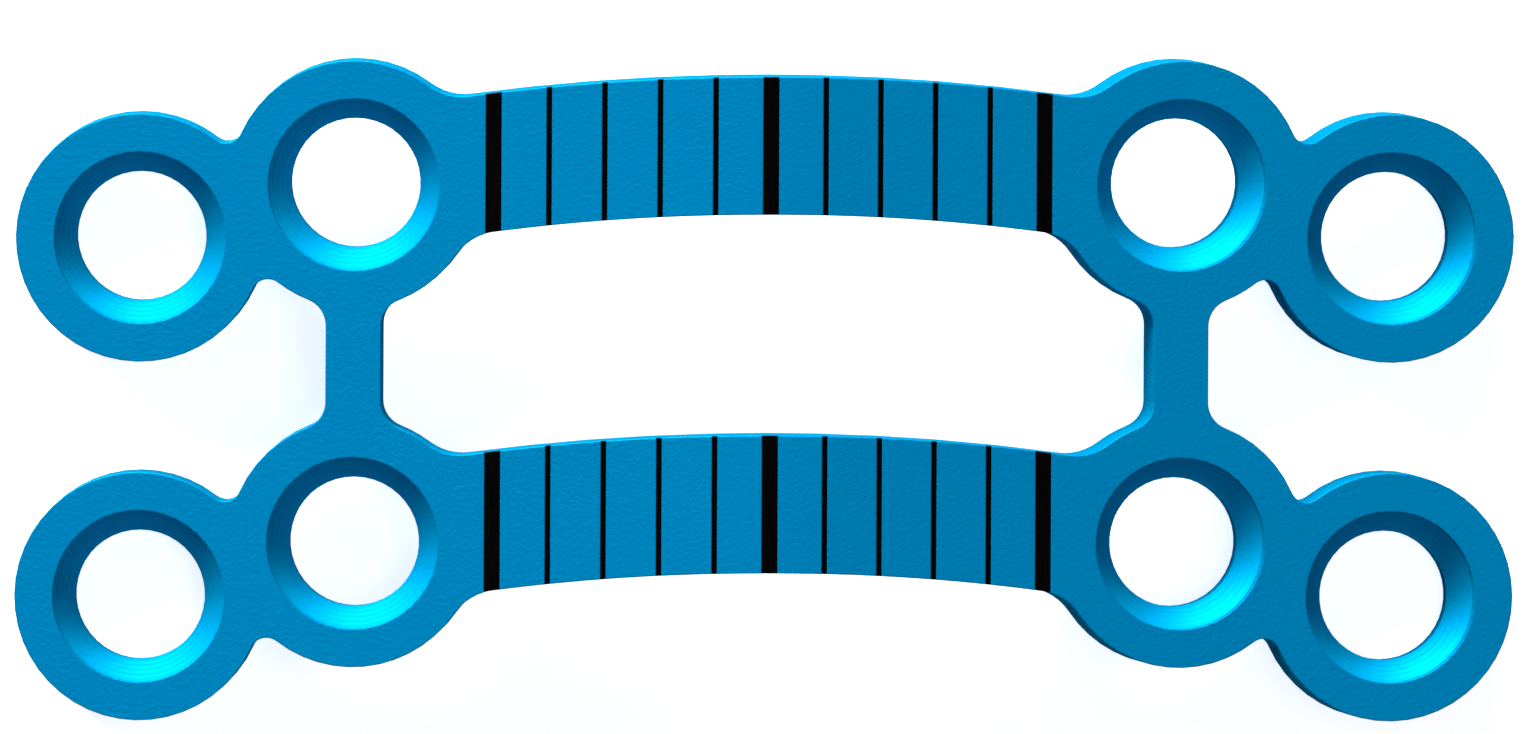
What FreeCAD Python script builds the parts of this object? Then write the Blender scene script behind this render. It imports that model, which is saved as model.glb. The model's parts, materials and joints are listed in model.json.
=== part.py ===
import FreeCAD, Part
import Sketcher

import math
import os
from collections import namedtuple

# A bone plate for small screws, in millimetres. Two arched rows, each a graduated bar with two
# screw lobes at either end, are held side by side by two struts. The plate is milled from one
# piece of sheet and bent across its middle, with the heads of the screws on the outer side of
# the bend.
#
# X runs along the plate, Y across it and Z up. It lies on its two ends, as on a table, and the
# origin is on the table under the middle of the plate. Each wing is flat, and its outline and
# holes are cut square to it.

SIZES = {
    # sheet and bend
    "plate_thickness": 1.0,
    "wing_angle": 7.06,
    "bend_radius": 8.8,
    # the two rows
    "row_radius": 38.5,
    "row_spacing": 6.5,
    "bar_width": 2.5,
    "strut_width": 1.0,
    # screw lobes, placed along the wing from the middle of the plate
    "lobe_diameter": 4.5,
    "inner_hole_offset": 7.57,
    "hole_pitch": 4.0,
    # screw holes, from the head's side down
    "head_diameter": 3.11,
    "head_depth": 0.2,
    "cone_angle": 75.0,
    "shank_diameter": 2.34,
    # rounded inside corners of the outline
    "bar_fillet": 1.0,
    "strut_fillet": 0.5,
    "notch_fillet": 0.3,
    # graduation marks
    "mark_pitch": 1.0,
    "thin_mark_width": 0.1,
    "thick_mark_width": 0.29,
    "mark_depth": 0.03,
    # how far the cutting sketches reach past what they cut
    "trim_margin": 0.6,
}
MARKS_EACH_SIDE = 5
THICK_MARK_EVERY = 5

# Places that follow from the sizes. Drops and crowns are measured from the top of each row's arc.
LAYOUT = {
    "lobe_radius": "sizes.lobe_diameter / 2",
    "inner_turn": "asin(sizes.inner_hole_offset / sizes.row_radius)",
    "outer_turn": "inner_turn + 2 * asin(sizes.hole_pitch / (2 * sizes.row_radius))",
    "inner_drop": "sizes.row_radius * (1 - cos(inner_turn))",
    "outer_drop": "sizes.row_radius * (1 - cos(outer_turn))",
    "outer_hole_offset": "sizes.row_radius * sin(outer_turn)",
    "crown_rise": "max(lobe_radius - inner_drop; sizes.bar_width / 2)",
    "upper_crown": "(sizes.row_spacing + outer_drop + lobe_radius - crown_rise) / 2",
    "lower_crown": "upper_crown - sizes.row_spacing",
    "upper_arc_centre": "upper_crown - sizes.row_radius",
    "lower_arc_centre": "lower_crown - sizes.row_radius",
    "upper_inner_hole": "upper_crown - inner_drop",
    "upper_outer_hole": "upper_crown - outer_drop",
    "lower_inner_hole": "lower_crown - inner_drop",
    "lower_outer_hole": "lower_crown - outer_drop",
    "bar_top_radius": "sizes.row_radius + sizes.bar_width / 2",
    "bar_bottom_radius": "sizes.row_radius - sizes.bar_width / 2",
    "strut_inner_side": "sizes.inner_hole_offset - sizes.strut_width / 2",
    "strut_outer_side": "sizes.inner_hole_offset + sizes.strut_width / 2",
    "half_width": "upper_crown + crown_rise",
    "wing_reach": "outer_hole_offset + lobe_radius",
    "crease_height": "wing_reach * sin(sizes.wing_angle) + sizes.plate_thickness * cos(sizes.wing_angle)",
    "bend_centre_height": "crease_height - sizes.bend_radius / cos(sizes.wing_angle)",
    "bend_half_length": "sizes.bend_radius * sin(sizes.wing_angle)",
    "blank_reach": "wing_reach + sizes.trim_margin",
    "blank_half_width": "half_width + sizes.trim_margin",
    "cut_reach": "blank_reach + sizes.trim_margin",
    "cut_half_width": "blank_half_width + sizes.trim_margin",
}

# How a sketch knows the points of a shape, its own origin and its upright axis
START, END, CENTRE = range(1, 4)
ORIGIN, UPRIGHT_AXIS = (-1, START), -2

Arc = namedtuple("Arc", "name centre radius turn")
Side = namedtuple("Side", "name x")


def fill_sheet(doc, name, cells):
    """A sheet with one named cell for each entry."""
    sheet = doc.addObject("Spreadsheet::Sheet", name)
    for row, (alias, content) in enumerate(cells.items(), start=1):
        sheet.set(f"A{row}", alias)
        sheet.set(f"B{row}", str(content))
        sheet.setAlias(f"B{row}", alias)
    doc.recompute()
    return sheet


def mark_cells():
    """Where each graduation mark lies on the outer surface, and how it tilts there."""
    cells = {}
    for mark in range(MARKS_EACH_SIDE + 1):
        x = f"{mark} * sizes.mark_pitch"
        on_bend = f"{x} < layout.bend_half_length"
        round_height = f"layout.bend_centre_height + sqrt(sizes.bend_radius ^ 2 - ({x}) ^ 2)"
        flat_height = f"layout.crease_height - {x} * tan(sizes.wing_angle)"
        round_tilt = f"asin({x} / sizes.bend_radius)"
        cells[f"mark{mark}_place"] = f"={x}"
        cells[f"mark{mark}_height"] = f"={on_bend} ? {round_height} : {flat_height}"
        cells[f"mark{mark}_tilt"] = f"={on_bend} ? {round_tilt} : sizes.wing_angle * 1 deg"
    return cells


def number(sheet, alias):
    """The value of a cell, without its unit."""
    value = getattr(sheet, alias)
    return float(getattr(value, "Value", value))


def origin_plane(body, role):
    """One of the body's own origin planes."""
    return next(item for item in body.Origin.OriginFeatures if item.Role == role)


def new_sketch(body, name, role):
    """An empty sketch on one of the body's origin planes."""
    sketch = body.newObject("Sketcher::SketchObject", name)
    sketch.AttachmentSupport = [(origin_plane(body, role), "")]
    sketch.MapMode = "FlatFace"
    return sketch


def wing_sketch(body, name, layout):
    """An empty sketch in the plane of the right wing's outer face, from the crease line outwards."""
    sketch = new_sketch(body, name, "XY_Plane")
    height = FreeCAD.Vector(0, 0, number(layout, "crease_height"))
    lean = FreeCAD.Rotation(FreeCAD.Vector(0, 1, 0), 1)
    sketch.AttachmentOffset = FreeCAD.Placement(height, lean)
    sketch.setExpression("AttachmentOffset.Base.z", "layout.crease_height")
    sketch.setExpression("AttachmentOffset.Rotation.Angle", "sizes.wing_angle * 1 deg")
    return sketch


def bind(sketch, kind, where, value, formula):
    """A dimension in a sketch that follows a cell."""
    index = sketch.addConstraint(Sketcher.Constraint(kind, *where, value))
    sketch.setExpression(f"Constraints[{index}]", formula)


def place_point(sketch, point, x, x_formula, y, y_formula):
    """Hold a point at a distance from the sketch's origin."""
    if x_formula is None:
        sketch.addConstraint(Sketcher.Constraint("PointOnObject", *point, UPRIGHT_AXIS))
    else:
        bind(sketch, "DistanceX", (*ORIGIN, *point), x, x_formula)
    bind(sketch, "DistanceY", (*ORIGIN, *point), y, y_formula)


def crossing(first, first_radius, second, second_radius, side):
    """Where two circles cross, on the left (1) or right (-1) of the way from first to second."""
    way = second - first
    distance = way.Length
    along = (distance**2 + first_radius**2 - second_radius**2) / (2 * distance)
    across = math.sqrt(first_radius**2 - along**2)
    way.normalize()
    left = FreeCAD.Vector(-way.y, way.x, 0)
    return first + way * along + left * (across * side)


def beside_line(centre, radius, x, side):
    """The point of a circle at x, above (1) or below (-1) its centre."""
    rise = math.sqrt(radius**2 - (x - centre.x) ** 2)
    return FreeCAD.Vector(x, centre.y + side * rise, 0)


def touching_point(one, other):
    """Where two neighbours of an outline touch: two arcs, or an arc and an upright side."""
    if isinstance(one, Side):
        one, other = other, one
    if isinstance(other, Side):
        return FreeCAD.Vector(other.x, one.centre.y, 0)
    large, small = sorted((one, other), key=lambda arc: -arc.radius)
    way = small.centre - large.centre
    way.normalize()
    return large.centre + way * large.radius


def draw(sketch, item, start, end):
    """Add one arc or side from start to end. Returns its number and the names of its two ends."""
    if isinstance(item, Side):
        return sketch.addGeometry(Part.LineSegment(start, end), False), START, END
    first, last = (start, end) if item.turn > 0 else (end, start)
    angles = [math.atan2(p.y - item.centre.y, p.x - item.centre.x) for p in (first, last)]
    if angles[1] < angles[0]:
        angles[1] += 2 * math.pi
    circle = Part.Circle(item.centre, FreeCAD.Vector(0, 0, 1), item.radius)
    shape = sketch.addGeometry(Part.ArcOfCircle(circle, *angles), False)
    return (shape, START, END) if item.turn > 0 else (shape, END, START)


def size_arc(sketch, shape, item, known, centres, radii):
    """Hold an arc's radius, and its centre where it has a stated one. A repeat follows the first."""
    family = item.name.split("/")[0]
    if family in known["radius"]:
        sketch.addConstraint(Sketcher.Constraint("Equal", known["radius"][family], shape))
    else:
        known["radius"][family] = shape
        bind(sketch, "Radius", (shape,), item.radius, radii[family])
    if item.name not in centres:
        return
    if item.name in known["centre"]:
        first = known["centre"][item.name]
        sketch.addConstraint(Sketcher.Constraint("Coincident", first, CENTRE, shape, CENTRE))
        return
    known["centre"][item.name] = shape
    x_formula, y_formula = centres[item.name]
    place_point(sketch, (shape, CENTRE), item.centre.x, x_formula, item.centre.y, y_formula)


def draw_chain(sketch, items, start, end, known, centres, radii):
    """Draw a chain of arcs and sides that touch each other. Returns its two loose ends."""
    corners = [start] + [touching_point(*pair) for pair in zip(items, items[1:])] + [end]
    drawn = []
    for item, first, last in zip(items, corners, corners[1:]):
        drawn.append(draw(sketch, item, first, last))
    for (one, _, one_end), (other, other_start, _) in zip(drawn, drawn[1:]):
        sketch.addConstraint(Sketcher.Constraint("Tangent", one, one_end, other, other_start))
    for (shape, _, _), item in zip(drawn, items):
        if isinstance(item, Side):
            bind(sketch, "DistanceX", (*ORIGIN, shape, START), item.x, f"layout.{item.name}")
        else:
            size_arc(sketch, shape, item, known, centres, radii)
    return drawn[0][:2], (drawn[-1][0], drawn[-1][2])


def draw_lines(sketch, corners):
    """Straight lines through the corners, each joined to the next. Returns their numbers."""
    lines = [
        sketch.addGeometry(Part.LineSegment(first, last), False)
        for first, last in zip(corners, corners[1:])
    ]
    for one, other in zip(lines, lines[1:]):
        sketch.addConstraint(Sketcher.Constraint("Coincident", one, END, other, START))
    return lines


def join(sketch, one, other):
    """Make two points of a sketch one."""
    sketch.addConstraint(Sketcher.Constraint("Coincident", *one, *other))


def row_arcs(layout, sizes, row):
    """The circles that one row's outline is made of, each under a plain name."""
    lobe = number(layout, "lobe_radius")
    arc_centre = FreeCAD.Vector(0, number(layout, f"{row}_arc_centre"), 0)
    inner = FreeCAD.Vector(number(sizes, "inner_hole_offset"), number(layout, f"{row}_inner_hole"), 0)
    outer = FreeCAD.Vector(number(layout, "outer_hole_offset"), number(layout, f"{row}_outer_hole"), 0)
    top, bottom = number(layout, "bar_top_radius"), number(layout, "bar_bottom_radius")
    bar, strut, notch = (number(sizes, f"{name}_fillet") for name in ("bar", "strut", "notch"))
    strut_side = 1 if row == "lower" else -1
    strut_inner = number(layout, "strut_inner_side")
    strut_outer = number(layout, "strut_outer_side")
    return {
        "bar_top": (arc_centre, top),
        "bar_bottom": (arc_centre, bottom),
        "inner": (inner, lobe),
        "outer": (outer, lobe),
        "bar_fillet_top": (crossing(inner, lobe + bar, arc_centre, top + bar, -1), bar),
        "bar_fillet_bottom": (crossing(inner, lobe + bar, arc_centre, bottom - bar, -1), bar),
        "notch_top": (crossing(inner, lobe + notch, outer, lobe + notch, 1), notch),
        "notch_bottom": (crossing(inner, lobe + notch, outer, lobe + notch, -1), notch),
        "strut_in": (beside_line(inner, lobe + strut, strut_inner - strut, strut_side), strut),
        "strut_out": (beside_line(inner, lobe + strut, strut_outer + strut, strut_side), strut),
    }


def outline_items(layout, sizes):
    """The plate's edge and the window's edge, each as a chain that starts and ends past the middle."""
    arcs = {row: row_arcs(layout, sizes, row) for row in ("upper", "lower")}
    families = {
        "bar_top": "bar_top/{row}",
        "bar_bottom": "bar_bottom/{row}",
        "inner": "lobe/{row}_inner",
        "outer": "lobe/{row}_outer",
        "bar_fillet_top": "bar_fillet",
        "bar_fillet_bottom": "bar_fillet",
        "notch_top": "notch_fillet",
        "notch_bottom": "notch_fillet",
        "strut_in": "strut_fillet",
        "strut_out": "strut_fillet",
    }

    def arc(row, name, turn):
        return Arc(families[name].format(row=row), *arcs[row][name], turn)

    inner_side = Side("strut_inner_side", number(layout, "strut_inner_side"))
    outer_side = Side("strut_outer_side", number(layout, "strut_outer_side"))
    edge = [
        arc("upper", "bar_top", -1),
        arc("upper", "bar_fillet_top", 1),
        arc("upper", "inner", -1),
        arc("upper", "notch_top", 1),
        arc("upper", "outer", -1),
        arc("upper", "notch_bottom", 1),
        arc("upper", "inner", -1),
        arc("upper", "strut_out", 1),
        outer_side,
        arc("lower", "strut_out", 1),
        arc("lower", "inner", -1),
        arc("lower", "notch_top", 1),
        arc("lower", "outer", -1),
        arc("lower", "notch_bottom", 1),
        arc("lower", "inner", -1),
        arc("lower", "bar_fillet_bottom", 1),
        arc("lower", "bar_bottom", 1),
    ]
    window = [
        arc("upper", "bar_bottom", -1),
        arc("upper", "bar_fillet_bottom", -1),
        arc("upper", "inner", 1),
        arc("upper", "strut_in", -1),
        inner_side,
        arc("lower", "strut_in", -1),
        arc("lower", "inner", 1),
        arc("lower", "bar_fillet_top", -1),
        arc("lower", "bar_top", 1),
    ]
    return edge, window


def sketch_outline(body, layout, sizes):
    """What is milled away from one wing: all that lies outside the plate's edge, and the window."""
    sketch = wing_sketch(body, "outline", layout)
    past = -number(sizes, "trim_margin")
    reach, half = number(layout, "cut_reach"), number(layout, "cut_half_width")
    radii = {
        "bar_top": "layout.bar_top_radius",
        "bar_bottom": "layout.bar_bottom_radius",
        "lobe": "layout.lobe_radius",
        "bar_fillet": "sizes.bar_fillet",
        "notch_fillet": "sizes.notch_fillet",
        "strut_fillet": "sizes.strut_fillet",
    }
    centres = {}
    for row in ("upper", "lower"):
        centres[f"bar_top/{row}"] = (None, f"layout.{row}_arc_centre")
        centres[f"bar_bottom/{row}"] = (None, f"layout.{row}_arc_centre")
        centres[f"lobe/{row}_inner"] = ("sizes.inner_hole_offset", f"layout.{row}_inner_hole")
        centres[f"lobe/{row}_outer"] = ("layout.outer_hole_offset", f"layout.{row}_outer_hole")
    known = {"radius": {}, "centre": {}}
    edge, window = outline_items(layout, sizes)

    start, end = (beside_line(item.centre, item.radius, past, 1) for item in (edge[0], edge[-1]))
    first, last = draw_chain(sketch, edge, start, end, known, centres, radii)
    corners = [
        end,
        FreeCAD.Vector(past, -half, 0),
        FreeCAD.Vector(reach, -half, 0),
        FreeCAD.Vector(reach, half, 0),
        FreeCAD.Vector(past, half, 0),
        start,
    ]
    down, along, up, back, close = draw_lines(sketch, corners)
    join(sketch, last, (down, START))
    join(sketch, (close, END), first)
    for line in (down, up, close):
        sketch.addConstraint(Sketcher.Constraint("Vertical", line))
    for line in (along, back):
        sketch.addConstraint(Sketcher.Constraint("Horizontal", line))
    for line in (down, close):
        bind(sketch, "DistanceX", (line, END, *ORIGIN), -past, "sizes.trim_margin")
    place_point(sketch, (up, END), reach, "layout.cut_reach", half, "layout.cut_half_width")
    bind(sketch, "DistanceY", (down, END, *ORIGIN), half, "layout.cut_half_width")

    start, end = (beside_line(item.centre, item.radius, past, 1) for item in (window[0], window[-1]))
    first, last = draw_chain(sketch, window, start, end, known, centres, radii)
    (close,) = draw_lines(sketch, [end, start])
    join(sketch, last, (close, START))
    join(sketch, (close, END), first)
    sketch.addConstraint(Sketcher.Constraint("Vertical", close))
    bind(sketch, "DistanceX", (close, END, *ORIGIN), -past, "sizes.trim_margin")
    return sketch


def sketch_side(body, layout, sizes):
    """The bent sheet seen from its long side, from the middle of the plate to past one end."""
    sketch = new_sketch(body, "side_view", "XZ_Plane")
    angle = math.radians(number(sizes, "wing_angle"))
    radius, thickness = number(sizes, "bend_radius"), number(sizes, "plate_thickness")
    reach, crease = number(layout, "blank_reach"), number(layout, "crease_height")
    centre = FreeCAD.Vector(0, number(layout, "bend_centre_height"), 0)
    out = FreeCAD.Vector(math.cos(angle), -math.sin(angle), 0)
    square = FreeCAD.Vector(math.sin(angle), math.cos(angle), 0)
    far_top = FreeCAD.Vector(0, crease, 0) + out * reach
    far_bottom = far_top - square * thickness
    axis = FreeCAD.Vector(0, 0, 1)
    tangent, upright = math.pi / 2 - angle, math.pi / 2

    arcs = [
        sketch.addGeometry(Part.ArcOfCircle(Part.Circle(centre, axis, size), tangent, upright), False)
        for size in (radius, radius - thickness)
    ]
    outside, inside = arcs
    top, end, bottom = draw_lines(
        sketch, [centre + square * radius, far_top, far_bottom, centre + square * (radius - thickness)]
    )
    middle = draw_lines(
        sketch, [centre + FreeCAD.Vector(0, radius - thickness, 0), centre + FreeCAD.Vector(0, radius, 0)]
    )[0]
    sketch.addConstraint(Sketcher.Constraint("Tangent", outside, START, top, START))
    sketch.addConstraint(Sketcher.Constraint("Tangent", inside, START, bottom, END))
    join(sketch, (middle, START), (inside, END))
    join(sketch, (middle, END), (outside, END))
    join(sketch, (outside, CENTRE), (inside, CENTRE))
    place_point(sketch, (outside, CENTRE), 0, None, centre.y, "layout.bend_centre_height")
    sketch.addConstraint(Sketcher.Constraint("PointOnObject", middle, START, UPRIGHT_AXIS))
    sketch.addConstraint(Sketcher.Constraint("PointOnObject", middle, END, UPRIGHT_AXIS))
    bind(sketch, "Radius", (outside,), radius, "sizes.bend_radius")
    bind(sketch, "Radius", (inside,), radius - thickness, "sizes.bend_radius - sizes.plate_thickness")
    sketch.addConstraint(Sketcher.Constraint("Perpendicular", top, end))
    bind(sketch, "Angle", (top,), -angle, "-sizes.wing_angle * 1 deg")
    bind(sketch, "Distance", (end,), thickness, "sizes.plate_thickness")
    bind(sketch, "DistanceX", (*ORIGIN, top, END), far_top.x, "layout.blank_reach * cos(sizes.wing_angle)")
    return sketch


def sketch_holes(body, layout, sizes):
    """The middles of the four screw holes of one wing."""
    sketch = wing_sketch(body, "hole_places", layout)
    places = {"inner": "sizes.inner_hole_offset", "outer": "layout.outer_hole_offset"}
    first = None
    for row in ("upper", "lower"):
        for name, x_formula in places.items():
            x = number(sizes if name == "inner" else layout, f"{name}_hole_offset")
            y = number(layout, f"{row}_{name}_hole")
            radius = number(sizes, "shank_diameter") / 2
            circle = Part.Circle(FreeCAD.Vector(x, y, 0), FreeCAD.Vector(0, 0, 1), radius)
            shape = sketch.addGeometry(circle, False)
            place_point(sketch, (shape, CENTRE), x, x_formula, y, f"layout.{row}_{name}_hole")
            if first is None:
                first = shape
                bind(sketch, "Diameter", (shape,), 2 * radius, "sizes.shank_diameter")
            else:
                sketch.addConstraint(Sketcher.Constraint("Equal", first, shape))
    return sketch


def sketch_marks(body, layout, sizes, marks):
    """The graduation marks of one wing, seen from the long side. Each straddles the outer surface."""
    sketch = new_sketch(body, "mark_sections", "XZ_Plane")
    depth = number(sizes, "mark_depth")
    for mark in range(MARKS_EACH_SIDE + 1):
        kind = "thin" if mark % THICK_MARK_EVERY else "thick"
        width = number(sizes, f"{kind}_mark_width")
        tilt = math.radians(number(marks, f"mark{mark}_tilt"))
        middle = FreeCAD.Vector(number(marks, f"mark{mark}_place"), number(marks, f"mark{mark}_height"), 0)
        along = FreeCAD.Vector(math.cos(tilt), -math.sin(tilt), 0) * (width / 2)
        square = FreeCAD.Vector(math.sin(tilt), math.cos(tilt), 0) * depth
        corners = [middle - along - square, middle + along - square, middle + along + square]
        corners += [middle - along + square, corners[0]]
        floor, right, top, left = draw_lines(sketch, corners)
        join(sketch, (left, END), (floor, START))
        sketch.addConstraint(Sketcher.Constraint("Perpendicular", floor, right))
        sketch.addConstraint(Sketcher.Constraint("Perpendicular", right, top))
        sketch.addConstraint(Sketcher.Constraint("Perpendicular", top, left))
        bind(sketch, "Distance", (floor,), width, f"sizes.{kind}_mark_width")
        bind(sketch, "Distance", (right,), 2 * depth, "2 * sizes.mark_depth")
        point = sketch.addGeometry(Part.Point(middle), True)
        sketch.addConstraint(Sketcher.Constraint("Symmetric", floor, START, right, END, point, START))
        if mark:
            x_formula = f"marks.mark{mark}_place"
            bind(sketch, "Angle", (floor,), -tilt, f"-marks.mark{mark}_tilt")
        else:
            x_formula = None
            sketch.addConstraint(Sketcher.Constraint("Horizontal", floor))
        y_formula = f"marks.mark{mark}_height"
        place_point(sketch, (point, START), middle.x, x_formula, middle.y, y_formula)
    return sketch


def add_pad(body, name, sketch, formula):
    """Sheet drawn in a sketch, equally far to both sides of it."""
    pad = body.newObject("PartDesign::Pad", name)
    pad.Profile = sketch
    pad.SideType = "Symmetric"
    pad.setExpression("Length", formula)
    body.Document.recompute()
    return pad


def add_pocket(body, name, sketch):
    """Mill away what is drawn in a sketch, right through to both sides of it."""
    before = body.Shape.Volume
    pocket = body.newObject("PartDesign::Pocket", name)
    pocket.Profile = sketch
    pocket.Type = "ThroughAll"
    pocket.SideType = "Symmetric"
    body.Document.recompute()
    if not pocket.Shape.Volume < before:
        raise RuntimeError(f"{name} cuts nothing")
    return pocket


def add_screw_holes(body, sketch):
    """Straight rim for the head, cone under it, straight bore for the shank."""
    before = body.Shape.Volume
    holes = body.newObject("PartDesign::Hole", "screw_holes")
    holes.Profile = sketch
    body.Document.recompute()
    holes.ThreadType = "None"
    holes.DepthType = "ThroughAll"
    holes.DrillPoint = "Flat"
    holes.HoleCutType = "Counterdrill"
    holes.HoleCutCustomValues = True
    holes.setExpression("Diameter", "sizes.shank_diameter")
    holes.setExpression("HoleCutDiameter", "sizes.head_diameter")
    holes.setExpression("HoleCutDepth", "sizes.head_depth")
    holes.setExpression("HoleCutCountersinkAngle", "sizes.cone_angle")
    body.Document.recompute()
    if not holes.Shape.Volume < before:
        raise RuntimeError("the screw holes cut nothing")
    return holes


def add_other_wing(body):
    """The left wing is the right one's mirror image."""
    before = body.Shape.Volume
    mirrored = body.newObject("PartDesign::Mirrored", "other_wing")
    mirrored.MirrorPlane = (origin_plane(body, "YZ_Plane"), [""])
    mirrored.TransformMode = "Whole shape"
    mirrored.Refine = True
    body.Tip = mirrored
    body.Document.recompute()
    if not mirrored.Shape.Volume > 1.9 * before:
        raise RuntimeError("the other wing is missing")
    return mirrored


def build_plate(doc, sizes, layout, marks):
    """The whole plate as one body."""
    body = doc.addObject("PartDesign::Body", "bone_plate")
    body.Label = "bone_plate"
    doc.recompute()
    side_view = sketch_side(body, layout, sizes)
    add_pad(body, "bent_sheet", side_view, "2 * layout.blank_half_width")
    add_pocket(body, "outline_cut", sketch_outline(body, layout, sizes))
    add_screw_holes(body, sketch_holes(body, layout, sizes))
    add_pocket(body, "graduation", sketch_marks(body, layout, sizes, marks))
    add_other_wing(body)
    return body


def check(doc, bodies):
    """Stop if anything in the document failed, or if a body isn't one sound solid."""
    for item in doc.Objects:
        bad = {"Invalid", "Error"} & set(item.State)
        if bad:
            raise RuntimeError(f"{item.Name} is {bad}")
        if item.isDerivedFrom("Sketcher::SketchObject") and item.solve() != 0:
            raise RuntimeError(f"{item.Name} can't be solved")
    for body in bodies:
        if body.Shape.isNull() or not body.Shape.isValid() or len(body.Shape.Solids) != 1:
            raise RuntimeError(f"{body.Label} isn't one sound solid")


def main():
    doc = FreeCAD.newDocument("bone_plate")
    sizes = fill_sheet(doc, "sizes", SIZES)
    layout = fill_sheet(doc, "layout", {alias: f"={formula}" for alias, formula in LAYOUT.items()})
    marks = fill_sheet(doc, "marks", mark_cells())
    bodies = [build_plate(doc, sizes, layout, marks)]
    doc.recompute()
    check(doc, bodies)
    os.makedirs("parts", exist_ok=True)
    for body in bodies:
        body.Shape.exportStep(f"parts/{body.Label}.step")
        box = body.Shape.optimalBoundingBox(False)
        lengths = [round(length, 3) for length in (box.XLength, box.YLength, box.ZLength)]
        print(body.Label, "volume", round(body.Shape.Volume, 3), "mm3, box", lengths, "mm")


main()
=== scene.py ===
# %% [markdown]
# # A small bone plate of blue anodised titanium
#
# The real plate is milled from one piece of titanium sheet, bent across its middle and anodised blue.
# Two arched bars carry a graduation of black laser marks, and screws go through the lobes at their ends.
#
# The solid comes ready from the CAD model, at its true size, and nothing here changes its shape.
# What is left to do is what the eye sees: the finish of the metal, the black of the marks,
# a table to lie on, soft light and a camera.

import json
import math

import bpy
import numpy as np
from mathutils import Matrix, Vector


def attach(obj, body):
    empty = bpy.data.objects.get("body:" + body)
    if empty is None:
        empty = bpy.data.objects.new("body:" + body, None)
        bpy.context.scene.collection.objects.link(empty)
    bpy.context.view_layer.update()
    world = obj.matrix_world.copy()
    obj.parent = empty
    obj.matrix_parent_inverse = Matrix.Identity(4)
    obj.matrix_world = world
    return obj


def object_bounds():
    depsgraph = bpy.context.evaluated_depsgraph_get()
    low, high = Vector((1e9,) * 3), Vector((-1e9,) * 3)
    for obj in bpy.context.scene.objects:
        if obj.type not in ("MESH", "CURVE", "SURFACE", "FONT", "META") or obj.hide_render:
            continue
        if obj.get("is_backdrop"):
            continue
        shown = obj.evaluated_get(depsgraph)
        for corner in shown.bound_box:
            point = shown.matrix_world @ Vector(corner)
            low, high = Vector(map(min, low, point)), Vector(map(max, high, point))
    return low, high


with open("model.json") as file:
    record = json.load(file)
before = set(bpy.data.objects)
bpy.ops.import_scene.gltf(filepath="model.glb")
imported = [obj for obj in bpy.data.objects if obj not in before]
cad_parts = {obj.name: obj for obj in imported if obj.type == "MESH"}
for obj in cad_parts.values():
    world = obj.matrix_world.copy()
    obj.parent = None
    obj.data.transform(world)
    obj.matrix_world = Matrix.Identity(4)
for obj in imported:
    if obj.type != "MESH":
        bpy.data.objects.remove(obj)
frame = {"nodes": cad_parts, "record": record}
cad_box = [list(corner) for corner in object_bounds()]
plate = frame["nodes"]["bone_plate"]
MM = 0.001
print("plate size in mm:", [round((high - low) / MM, 2) for low, high in zip(*cad_box)])

# %% [markdown]
# ## Where the holes are
#
# The record that comes with the solid states each pair of screw holes as a mount: the middle of the
# pair, the direction in which its holes run, and the distance between them.
# The holes stand square to the wing that they are in, so their direction also gives the wing's slope.
# Reading these places is better than typing them again, because they then always fit the solid.

# %% Read the screw holes from the record
mounts = {mount["name"]: mount for mount in frame["record"]["mounts"]}
inner_pair = mounts["right_inner_screw_holes"]
outer_pair = mounts["right_outer_screw_holes"]
wing_slope = math.atan2(inner_pair["axis"][0], inner_pair["axis"][2])
row_spacing = inner_pair["dims"]["pcd_mm"] * MM
print("wings slope down by", round(math.degrees(wing_slope), 2), "degrees")

# %% [markdown]
# ## The outer face as a formula
#
# Seen from the long side, the outer face is a straight line on each wing and an arc across the middle.
# The two lines, carried on, would meet in a crease above the arc.
# The arc touches both lines, so one radius and the slope settle everything.

# %% The outer face
BEND_RADIUS = 8.8 * MM

crown_height = cad_box[1][2]
bend_centre = crown_height - BEND_RADIUS
crease_height = bend_centre + BEND_RADIUS / math.cos(wing_slope)
bend_half_length = BEND_RADIUS * math.sin(wing_slope)


def face_tilt(x):
    """How far the outer face leans at x: the arcsine of x over the radius, held at the ends of the arc."""
    on_arc = np.clip(x, -bend_half_length, bend_half_length)
    return np.arcsin(on_arc / BEND_RADIUS)


def face_height(x):
    """Height of the outer face at x: the arc near the middle, and the falling lines past its ends."""
    on_arc = np.clip(x, -bend_half_length, bend_half_length)
    arc = bend_centre + np.sqrt(BEND_RADIUS**2 - on_arc**2)
    line = crease_height - np.abs(x) * math.tan(wing_slope)
    return np.where(np.abs(x) < bend_half_length, arc, line)


print("crease is at a height of", round(crease_height / MM, 3), "mm")
print("bend ends", round(bend_half_length / MM, 3), "mm to either side of the middle")

# %% [markdown]
# ## The edges of a bar
#
# From above, each bar is a piece of a ring: both of its edges are circles about one far middle.
# The circles lie in the sloping plane of a wing, so they count the distance along its slope, not
# along x. Their middle comes from the inner holes, which lie halfway between the two edges.

# %% The edges of a bar
ROW_RADIUS = 38.5 * MM
BAR_WIDTH = 2.5 * MM


def along_wing(x, z):
    """Distance from the crease down the wing's slope, the same on both wings."""
    return np.abs(x) * math.cos(wing_slope) - (z - crease_height) * math.sin(wing_slope)


def across_plate(centre, radius, along):
    """Where a circle is across the plate: its middle plus the other leg of radius and distance along."""
    return centre + np.sqrt(radius**2 - along**2)


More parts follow.
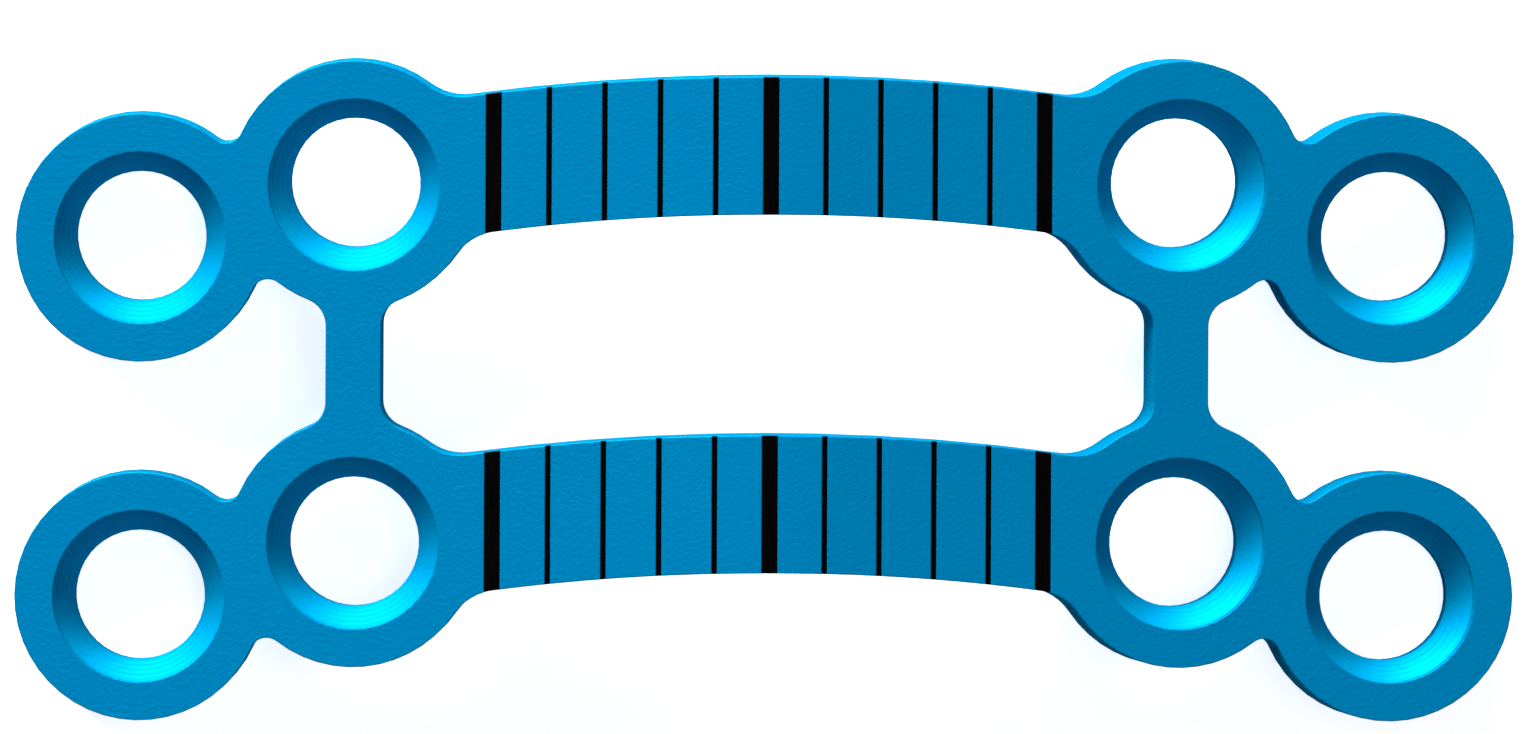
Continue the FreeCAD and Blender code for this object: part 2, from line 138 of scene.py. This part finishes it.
pair_along = along_wing(inner_pair["pos_m"][0], inner_pair["pos_m"][2])
drop = across_plate(0, ROW_RADIUS, 0) - across_plate(0, ROW_RADIUS, pair_along)
mean_crown = inner_pair["pos_m"][1] + drop
print("the bars drop by", round(drop / MM, 3), "mm from the middle to the inner holes")

# %% [markdown]
# ## The graduation
#
# A laser burns the marks into the finished plate, a little below the surface, square across each bar
# and one millimetre apart. Every fifth mark is thick.
# The solid has a shallow groove for each mark, and a thin black strip fills it. A picture laid over
# the metal would do from afar, but a strip of its own stays sharp however near one looks.
#
# Seen from the long side, a strip is a small rectangle that leans as the face does. It is a hair
# smaller than its groove, so that no two faces lie in one place.

# %% Rectangles of the strips
MARK_PITCH = 1.0 * MM
MARKS_EACH_SIDE = 5
THICK_MARK_EVERY = 5
THIN_MARK_WIDTH = 0.1 * MM
THICK_MARK_WIDTH = 0.29 * MM
MARK_DEPTH = 0.03 * MM
GROOVE_GAP = 0.002 * MM


def strip_corners():
    """The four corners of every strip, seen from the long side, as two arrays of strips and corners.

    Half the width to either side along the leaning face, and the depth square to it."""
    count = np.arange(-MARKS_EACH_SIDE, MARKS_EACH_SIDE + 1)
    place = (count * MARK_PITCH)[:, None]
    width = np.where(count % THICK_MARK_EVERY == 0, THICK_MARK_WIDTH, THIN_MARK_WIDTH)
    side = np.outer(width / 2 - GROOVE_GAP, [-1, 1, 1, -1])
    depth = np.array([GROOVE_GAP - MARK_DEPTH, GROOVE_GAP - MARK_DEPTH, -GROOVE_GAP, -GROOVE_GAP])
    tilt = face_tilt(place)
    x = place + side * np.cos(tilt) + depth * np.sin(tilt)
    z = face_height(place) - side * np.sin(tilt) + depth * np.cos(tilt)
    return x, z


print("strips and corners:", strip_corners()[0].shape)

# %% [markdown]
# ## Across the bar
#
# Each rectangle is carried across its bar. The ends of a strip follow the round edges of the bar, so
# each corner of the rectangle has its own start and end, where its line meets the edge.
# That is a surface of two parameters: which corner, and how far along.

# %% Points of the strips
STEPS_ALONG = 8


def strip_points(bar_crown):
    """All points of a bar's strips, as an array of strips, steps along, corners and coordinates.

    Every corner runs in even steps from the bar's lower edge to its upper edge."""
    x, z = strip_corners()
    along = along_wing(x, z)
    centre = bar_crown - ROW_RADIUS
    low = across_plate(centre, ROW_RADIUS - BAR_WIDTH / 2, along)[:, None]
    high = across_plate(centre, ROW_RADIUS + BAR_WIDTH / 2, along)[:, None]
    step = np.linspace(0, 1, STEPS_ALONG + 1)[None, :, None]
    y = low + (high - low) * step
    x, z = np.broadcast_to(x[:, None], y.shape), np.broadcast_to(z[:, None], y.shape)
    return np.stack([x, y, z], axis=-1)


bar_crowns = {"upper": mean_crown + row_spacing / 2, "lower": mean_crown - row_spacing / 2}
marks_points = {row: strip_points(bar_crown) for row, bar_crown in bar_crowns.items()}
print("strips, steps, corners, coordinates:", marks_points["upper"].shape)

# %% [markdown]
# ## From points to pieces
#
# Every strip is a tube with four sides: a ring of four points at each step, faces between one ring
# and the next, and a flat face at each end, so that it is closed. All of its faces point outwards.
# All strips of one bar make one piece. It rides on the plate, so it goes wherever the plate goes.

# %% Make the strips


def tube_faces(tubes, steps, corners):
    """Faces of equal tubes. A wall goes from a corner one step on, over to the next corner and back."""
    ring, corner = np.meshgrid(np.arange(steps), np.arange(corners), indexing="ij")
    following = (corner + 1) % corners
    here, there = ring * corners, (ring + 1) * corners
    wall = np.stack([here + corner, there + corner, there + following, here + following], axis=-1)
    near = np.arange(corners)
    far = steps * corners + near[::-1]
    start = np.arange(tubes)[:, None] * (steps + 1) * corners
    walls = (wall.reshape(-1, 4) + start[:, :, None]).reshape(-1, 4)
    return np.concatenate([walls, near + start, far + start])


def new_piece(name, points, faces):
    """A mesh from whole arrays, riding on the plate."""
    mesh = bpy.data.meshes.new(name)
    mesh.from_pydata(points.reshape(-1, 3), [], faces.tolist())
    mesh.validate()
    piece = bpy.data.objects.new(name, mesh)
    bpy.context.scene.collection.objects.link(piece)
    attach(piece, "root")
    return piece


marks = []
for row, points in marks_points.items():
    strips, rings, corners = points.shape[:3]
    faces = tube_faces(strips, rings - 1, corners)
    marks.append(new_piece(f"{row}_bar_marks", points, faces))
    print(row, "bar:", strips, "marks,", len(faces), "faces")

# %% [markdown]
# ## Colours and nodes
#
# Colours are written the way a picture editor shows them, and Blender computes with linear light, so
# one function converts them. A second one adds a node, sets it and links it in one call, and hands
# back the output that the next node needs.

# %% Helpers for colours and nodes


def colour(code):
    """A colour from its hex code, as linear red, green, blue and full cover."""
    coded = np.array([int(code[i : i + 2], 16) for i in (1, 3, 5)]) / 255
    linear = np.where(coded <= 0.04045, coded / 12.92, ((coded + 0.055) / 1.055) ** 2.4)
    return (*linear.tolist(), 1.0)


def add(tree, kind, inputs=None, output=0, **settings):
    """A new node. Its inputs take values or other nodes' outputs, and one of its outputs comes back."""
    node = tree.nodes.new("ShaderNode" + kind)
    for name, value in settings.items():
        setattr(node, name, value)
    for name, value in (inputs or {}).items():
        if isinstance(value, bpy.types.NodeSocket):
            tree.links.new(value, node.inputs[name])
        else:
            node.inputs[name].default_value = value
    return node.outputs[output] if node.outputs else None


def new_material(name):
    """An empty node material, and its tree."""
    material = bpy.data.materials.new(name)
    material.use_nodes = True
    material.node_tree.nodes.clear()
    return material, material.node_tree


print("the plate's blue in linear light:", [round(value, 3) for value in colour("#0089C0")[:3]])

# %% [markdown]
# ## Which tool made which face
#
# The faces of the real plate don't all look the same, because different tools made them.
# A countersink turned the seats for the screw heads and left fine rings about each hole.
# A mill ran round the outline and left fine lines from the outer face to the underside.
#
# Painting them apart by hand would be one way. Here the shape itself tells: a seat leans halfway
# over and a wall stands nearly upright, so how far a face's direction points up says what it is.

# %% Masks for the walls and the seats
MOST_UP_ON_WALL = 0.3
MOST_UP_ON_SEAT = 0.85


def wall_and_seat(tree):
    """Two masks from how far a face's direction points up: hardly on a wall, and halfway on a seat."""
    direction = add(tree, "TexCoord", output="Normal")
    up = add(tree, "SeparateXYZ", {"Vector": direction}, output="Z")
    up_or_down = add(tree, "Math", {0: up}, operation="ABSOLUTE")
    wall = add(tree, "Math", {0: up_or_down, 1: MOST_UP_ON_WALL}, operation="LESS_THAN")
    above = add(tree, "Math", {0: up, 1: MOST_UP_ON_WALL}, operation="GREATER_THAN")
    below = add(tree, "Math", {0: up, 1: MOST_UP_ON_SEAT}, operation="LESS_THAN")
    seat = add(tree, "Math", {0: above, 1: below}, operation="MULTIPLY")
    return wall, seat


print("most that a face's direction points up: wall", MOST_UP_ON_WALL, "seat", MOST_UP_ON_SEAT)

# %% [markdown]
# ## Rings about the holes
#
# The rings in a seat need the distance from the axis of its hole, and there are eight holes.
# Both wings are alike, and so are both holes of a pair. So a place is folded over twice, onto one
# wing and onto one side of the pair's middle, and then one axis for each pair serves all eight.

# %% Distance from the holes


def distance_from_pair(tree, place, pair):
    """Distance of a place from the nearest hole axis of a pair.

    Folding makes x and the way from the pair's middle positive. The offset from the hole, less its
    part along the axis, is as long as the distance."""
    x, middle, z = pair["pos_m"]
    from_middle = add(tree, "VectorMath", {0: place, 1: (0, middle, 0)}, operation="SUBTRACT")
    folded = add(tree, "VectorMath", {0: from_middle}, operation="ABSOLUTE")
    offset = add(tree, "VectorMath", {0: folded, 1: (x, row_spacing / 2, z)}, operation="SUBTRACT")
    along = add(tree, "VectorMath", {0: offset, 1: pair["axis"]}, operation="PROJECT")
    across = add(tree, "VectorMath", {0: offset, 1: along}, operation="SUBTRACT")
    return add(tree, "VectorMath", {0: across}, output="Value", operation="LENGTH")


def distance_from_holes(tree, place):
    """The smaller of the distances from the inner and the outer holes."""
    inner = distance_from_pair(tree, place, inner_pair)
    outer = distance_from_pair(tree, place, outer_pair)
    return add(tree, "Math", {0: inner, 1: outer}, operation="MINIMUM")


for pair in (inner_pair, outer_pair):
    print(pair["name"], "stand at x =", round(pair["pos_m"][0] / MM, 2), "mm")

# %% [markdown]
# ## The relief of the metal
#
# Three things roughen the plate. It is blasted with fine beads, which leaves a satin surface of tiny
# dimples all over. Under them the seats keep their rings and the walls their milled lines.
#
# The real dimples and rings are a few hundredths of a millimetre wide and a few thousandths deep,
# too fine to show here, so they are drawn about twice as coarse.
# Bump shading is enough for them: none is deep enough to change the outline.

# %% Heights of the dimples and rings
BEAD_DIMPLE = 0.07 * MM
DIMPLE_DEPTH = 0.005 * MM
RING_PITCH = 0.08 * MM
RING_DEPTH = 0.003 * MM


def bead_dimples(tree, place):
    """Noise as fine as a dimple, times the depth."""
    pattern = add(tree, "TexNoise", {"Vector": place, "Scale": 1 / BEAD_DIMPLE, "Detail": 1.0})
    return add(tree, "Math", {0: pattern, 1: DIMPLE_DEPTH}, operation="MULTIPLY")


def turned_rings(tree, place):
    """A sine of the distance from the hole, one wave for each ring, times half the depth."""
    distance = distance_from_holes(tree, place)
    turn = add(tree, "Math", {0: distance, 1: math.tau / RING_PITCH}, operation="MULTIPLY")
    wave = add(tree, "Math", {0: turn}, operation="SINE")
    return add(tree, "Math", {0: wave, 1: RING_DEPTH / 2}, operation="MULTIPLY")


print("widths of a dimple and a ring in mm:", round(BEAD_DIMPLE / MM, 3), round(RING_PITCH / MM, 3))

# %% [markdown]
# ## The lines on the walls
#
# The teeth of a mill leave lines that run the whole height of a wall. They are drawn coarser and
# deeper than real ones, so that they show.
#
# Then the three heights are added up. The dimples count everywhere, the rings only where the mask of
# the seats is one, and the lines only where the mask of the walls is.

# %% Height of the lines and of the whole relief
MILL_LINE = 0.08 * MM
MILL_LENGTH = 1.2 * MM
MILL_DEPTH = 0.015 * MM


def milled_lines(tree, place):
    """Noise drawn out along z, a little longer than a wall is high, times the depth."""
    stretch = (1, 1, MILL_LINE / MILL_LENGTH)
    drawn_out = add(tree, "VectorMath", {0: place, 1: stretch}, operation="MULTIPLY")
    pattern = add(tree, "TexNoise", {"Vector": drawn_out, "Scale": 1 / MILL_LINE, "Detail": 2.0})
    return add(tree, "Math", {0: pattern, 1: MILL_DEPTH}, operation="MULTIPLY")


def metal_relief(tree, place, wall, seat):
    """Height of the surface: dimples everywhere, plus rings times the seats and lines times the walls."""
    with_rings = {0: turned_rings(tree, place), 1: seat, 2: bead_dimples(tree, place)}
    height = add(tree, "Math", with_rings, operation="MULTIPLY_ADD")
    with_lines = {0: milled_lines(tree, place), 1: wall, 2: height}
    return add(tree, "Math", with_lines, operation="MULTIPLY_ADD")


print("width and length of a line in mm:", round(MILL_LINE / MM, 3), round(MILL_LENGTH / MM, 3))

# %% [markdown]
# ## The colour of the film, and painted shade on the walls
#
# Anodising grows a clear oxide film, less than a tenth of a micron thick, and the light between its
# two faces gives the colour: there is no dye. So the metal itself looks coloured, in its reflections
# too, which is what a metallic surface with a coloured base does.
#
# The film is never quite the same thickness all over, so the blue drifts by a shade from place to place.
# On the cut faces it comes out a little greener. The walls also get a darker blue, which is painted shade:
# it keeps the near walls dark, and it darkens the lit walls too.

# %% The colour of the film and the walls' painted shade
FILM_PATCH = 3.0 * MM


def film_colour_and_painted_wall_shade(tree, place, wall, seat):
    """Two near blues mixed by a slow noise, then by their masks the seats' tint and the walls' darker
    blue, which is painted shade.
    """
    drift = add(tree, "TexNoise", {"Vector": place, "Scale": 1 / FILM_PATCH, "Detail": 2.0})
    blues = {"Factor": drift, "A": colour("#008BC0"), "B": colour("#0087C0")}
    face = add(tree, "Mix", blues, output="Result", data_type="RGBA")
    # The walls' darker blue is painted shade: it keeps the near walls dark.
    walls = {"Factor": wall, "A": face, "B": colour("#006F96")}
    face_and_painted_wall_shade = add(tree, "Mix", walls, output="Result", data_type="RGBA")
    seats = {"Factor": seat, "A": face_and_painted_wall_shade, "B": colour("#008AB8")}
    return add(tree, "Mix", seats, output="Result", data_type="RGBA")


print("patches of one blue are about", round(FILM_PATCH / MM, 1), "mm across")

# %% [markdown]
# ## How dull and how metallic
#
# Blasting makes the whole plate satin, and a little grain in the roughness breaks up its gloss.
#
# The cutters left steep ridges on the walls and the seats, and light goes back and forth between the
# ridges before it gets out. So these faces look part matt, which a metallic share below one stands
# for. The outer face was rolled smooth and is all metal.

# %% Roughness and metallic share
GRAIN_PATCH = 0.3 * MM
BLASTED_ROUGHNESS = 0.58
GRAIN_ROUGHNESS = 0.04
WALL_METAL = 0.35
SEAT_METAL = 0.6


def satin_roughness(tree, place):
    """The roughness that blasting leaves, plus a little grain."""
    grain = add(tree, "TexNoise", {"Vector": place, "Scale": 1 / GRAIN_PATCH, "Detail": 2.0})
    rough = {0: grain, 1: GRAIN_ROUGHNESS, 2: BLASTED_ROUGHNESS}
    return add(tree, "Math", rough, operation="MULTIPLY_ADD")


def metal_share(tree, wall, seat):
    """One on the outer face, less the matt share of a wall or a seat, by their masks."""
    matt = add(tree, "Math", {0: wall, 1: 1 - WALL_METAL}, operation="MULTIPLY")
    matt = add(tree, "Math", {0: seat, 1: 1 - SEAT_METAL, 2: matt}, operation="MULTIPLY_ADD")
    return add(tree, "Math", {0: 1.0, 1: matt}, operation="SUBTRACT")


print("metallic share of a wall", WALL_METAL, "and of a seat", SEAT_METAL)

# %% [markdown]
# ## Anodised titanium
#
# Now the colour, the roughness and the relief come together in one material.
# Against the light, at a flat angle, the film takes more away, so the tint of the edges is dark. The
# matt share of the cut faces gets no mirror light of its own.
# The edges of the real plate are broken by a few hundredths of a millimetre. Rounding them in the
# mesh would change the solid, so a Bevel node draws them in the shading.

# %% The finish of the plate
EDGE_BREAK = 0.03 * MM
EDGE_SAMPLES = 6


def anodised_titanium():
    """Blue metal, satin from blasting, over the marks of the tools."""
    material, tree = new_material("anodised_titanium_bead_blasted")
    place = add(tree, "TexCoord", output="Object")
    wall, seat = wall_and_seat(tree)
    relief = {
        "Height": metal_relief(tree, place, wall, seat),
        "Distance": 1.0,
        "Strength": 1.0,
        "Normal": add(tree, "Bevel", {"Radius": EDGE_BREAK}, samples=EDGE_SAMPLES),
    }
    metal = {
        "Base Color": film_colour_and_painted_wall_shade(tree, place, wall, seat),
        "Metallic": metal_share(tree, wall, seat),
        "Roughness": satin_roughness(tree, place),
        "Specular IOR Level": 0.0,
        "Specular Tint": colour("#002A40"),
        "Normal": add(tree, "Bump", relief),
    }
    add(tree, "OutputMaterial", {"Surface": add(tree, "BsdfPrincipled", metal)})
    return material


plate.data.materials.clear()
plate.data.materials.append(anodised_titanium())
print("plate finish:", plate.data.materials[0].name)

# %% [markdown]
# ## Laser black
#
# A laser marks titanium by heating it in air. It writes each mark as a row of fine lines, and the
# thick oxide that they leave is black and without gloss. So this isn't the bare metal any more but a
# dull, dark layer: no metallic part, a high roughness and no mirror light. Even a little of that would
# turn the black grey for an eye that looks low over the plate, against a lamp.
# The lines show as faint streaks along the mark.

# %% The finish of the marks
LASER_LINE = 0.03 * MM
STREAK_LENGTH = 0.6 * MM


def laser_black():
    """Noise drawn out along the mark, which sets the depth of the black."""
    material, tree = new_material("laser_annealed_black")
    place = add(tree, "TexCoord", output="Object")
    stretch = (1, LASER_LINE / STREAK_LENGTH, 1)
    drawn_out = add(tree, "VectorMath", {0: place, 1: stretch}, operation="MULTIPLY")
    streaks = add(tree, "TexNoise", {"Vector": drawn_out, "Scale": 1 / LASER_LINE, "Detail": 1.0})
    blacks = {"Factor": streaks, "A": colour("#000000"), "B": colour("#080809")}
    oxide = {
        "Base Color": add(tree, "Mix", blacks, output="Result", data_type="RGBA"),
        "Roughness": 0.9,
        "Specular IOR Level": 0.0,
    }
    add(tree, "OutputMaterial", {"Surface": add(tree, "BsdfPrincipled", oxide)})
    return material


black = laser_black()
for piece in marks:
    piece.data.materials.append(black)
print("marks finish:", black.name)

# %% [markdown]
# ## The table
#
# The plate lies on a white table, as in a catalogue, where the ground is plain white.
# The lamps alone make the table white, but they leave the plate's shadow grey, and brighter lamps
# would spoil the blue. So the table shines too, though only for what looks at it: the camera and the
# metal that mirrors it. That gives the plate no other light, and leaves its shadow faint.

# %% A white table
TABLE_SIZE = 800 * MM
TABLE_LIFT = 0.8
PAPER_GRAIN = 0.4 * MM


def white_table():
    """Matt white with a paper's grain, and a lift that only camera, glossy and transmission rays see."""
    material, tree = new_material("matt_white_table")
    camera_ray = add(tree, "LightPath", output="Is Camera Ray")
    glossy_ray = add(tree, "LightPath", output="Is Glossy Ray")
    clear_ray = add(tree, "LightPath", output="Is Transmission Ray")
    looking = add(tree, "Math", {0: camera_ray, 1: glossy_ray}, operation="MAXIMUM")
    looking = add(tree, "Math", {0: looking, 1: clear_ray}, operation="MAXIMUM")
    place = add(tree, "TexCoord", output="Object")
    grain = add(tree, "TexNoise", {"Vector": place, "Scale": 1 / PAPER_GRAIN, "Detail": 2.0})
    whites = {"Factor": grain, "A": colour("#F0F0F0"), "B": colour("#F4F4F4")}
    paper = {
        "Base Color": add(tree, "Mix", whites, output="Result", data_type="RGBA"),
        "Roughness": 0.9,
        "Emission Color": colour("#FFFFFF"),
        "Emission Strength": add(tree, "Math", {0: looking, 1: TABLE_LIFT}, operation="MULTIPLY"),
    }
    add(tree, "OutputMaterial", {"Surface": add(tree, "BsdfPrincipled", paper)})
    return material


half = TABLE_SIZE / 2
table_corners = [(-half, -half, 0), (half, -half, 0), (half, half, 0), (-half, half, 0)]
table_mesh = bpy.data.meshes.new("table")
table_mesh.from_pydata(table_corners, [], [(0, 1, 2, 3)])
table_mesh.materials.append(white_table())
table = bpy.data.objects.new("table", table_mesh)
bpy.context.scene.collection.objects.link(table)
table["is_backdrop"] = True
print("table in mm:", round(TABLE_SIZE / MM))

# %% [markdown]
# ## The light
#
# Metal shows what stands around it, so the lamps are broad softboxes.
# One hangs overhead and lights the outer face. The other is a long strip that stands low behind the plate,
# a little to the left. It lights the far side walls and the near halves of the seats. It leaves the near
# walls dark, and the walls' darker blue, which is painted shade, darkens them further. That is what makes
# the small holes look deep.
#
# A softbox is given by the direction that it stands in and by how bright its face is.
# A face that shines evenly gives off its brightness times its area times pi, so that is its power.

# %% The softboxes
SOFTBOX_DISTANCE = 500 * MM


def softbox(name, direction, size, brightness):
    """A rectangle of light that looks at the plate. Its power is brightness times area times pi.

    The direction is an azimuth, 0 at the plate's right and 90 at its far side, and an elevation."""
    width, height = size
    data = bpy.data.lights.new(name, "AREA")
    data.shape = "RECTANGLE"
    data.size = width
    data.size_y = height
    data.energy = brightness * width * height * math.pi
    lamp = bpy.data.objects.new(name, data)
    bpy.context.scene.collection.objects.link(lamp)
    turn, rise = (math.radians(angle) for angle in direction)
    flat = math.cos(rise)
    outward = Vector((flat * math.cos(turn), flat * math.sin(turn), math.sin(rise)))
    lamp.location = outward * SOFTBOX_DISTANCE
    lamp.rotation_euler = outward.to_track_quat("Z", "Y").to_euler()
    print(name, "power in watts:", round(data.energy, 3))


softbox("overhead_softbox", direction=(0, 78), size=(200 * MM, 200 * MM), brightness=3.5)
softbox("low_strip_softbox", direction=(112, 21), size=(560 * MM, 200 * MM), brightness=31.0)

# %% [markdown]
# ## The room
#
# A bright room would light the plate too, but from all sides alike, and the holes would look flat.
# So the room is nearly dark, and only softens the deepest shades.

# %% A dim room
ROOM_LIGHT = 0.04

world = bpy.data.worlds.new("dim_studio")
bpy.context.scene.world = world
world.use_nodes = True
world.node_tree.nodes.clear()
room = add(world.node_tree, "Background", {"Color": colour("#FFFFFF"), "Strength": ROOM_LIGHT})
add(world.node_tree, "OutputWorld", {"Surface": room})
print("strength of the room's light:", ROOM_LIGHT)

# %% [markdown]
# ## The camera
#
# The picture is almost a straight view from above, without perspective, so the camera is an
# orthographic one. It is turned by a few degrees, and the turns are those at which the outline, the
# holes and the far walls fall where the picture has them.
# How many picture points a millimetre takes settles the width of the view.

# %% The camera
PICTURE_WIDTH = 1538
PIXELS_PER_MM = 55.25
CAMERA_DISTANCE = 150 * MM
TURNS = [math.radians(angle) for angle in (-3.0255, -3.9425, 0.2614)]
LOOK_AT = Vector((-0.0247, 0.4913, 2.6073)) * MM

camera_data = bpy.data.cameras.new("camera")
camera_data.type = "ORTHO"
camera_data.ortho_scale = PICTURE_WIDTH / PIXELS_PER_MM * MM
camera_data.clip_start = 0.01 * CAMERA_DISTANCE
camera_data.clip_end = 10 * CAMERA_DISTANCE
camera = bpy.data.objects.new("camera", camera_data)
bpy.context.scene.collection.objects.link(camera)
camera.rotation_mode = "ZXY"
camera.rotation_euler = TURNS
back = camera.rotation_euler.to_matrix() @ Vector((0, 0, 1))
camera.location = LOOK_AT + back * CAMERA_DISTANCE
bpy.context.scene.camera = camera
bpy.context.scene.view_settings.view_transform = "Standard"
print("camera looks along", [round(-value, 4) for value in back])

# %% [markdown]
# ## The last measure
#
# Nothing that was added may reach past the solid, so the outer corners of the finished model are measured
# again, and their largest difference from those of the solid is printed.

# %% Compare the sizes and finish
visual_box = [list(corner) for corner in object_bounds()]
growth = np.abs(np.array(visual_box) - np.array(cad_box)).max()
print("largest difference between the boxes in mm:", round(growth / MM, 4))
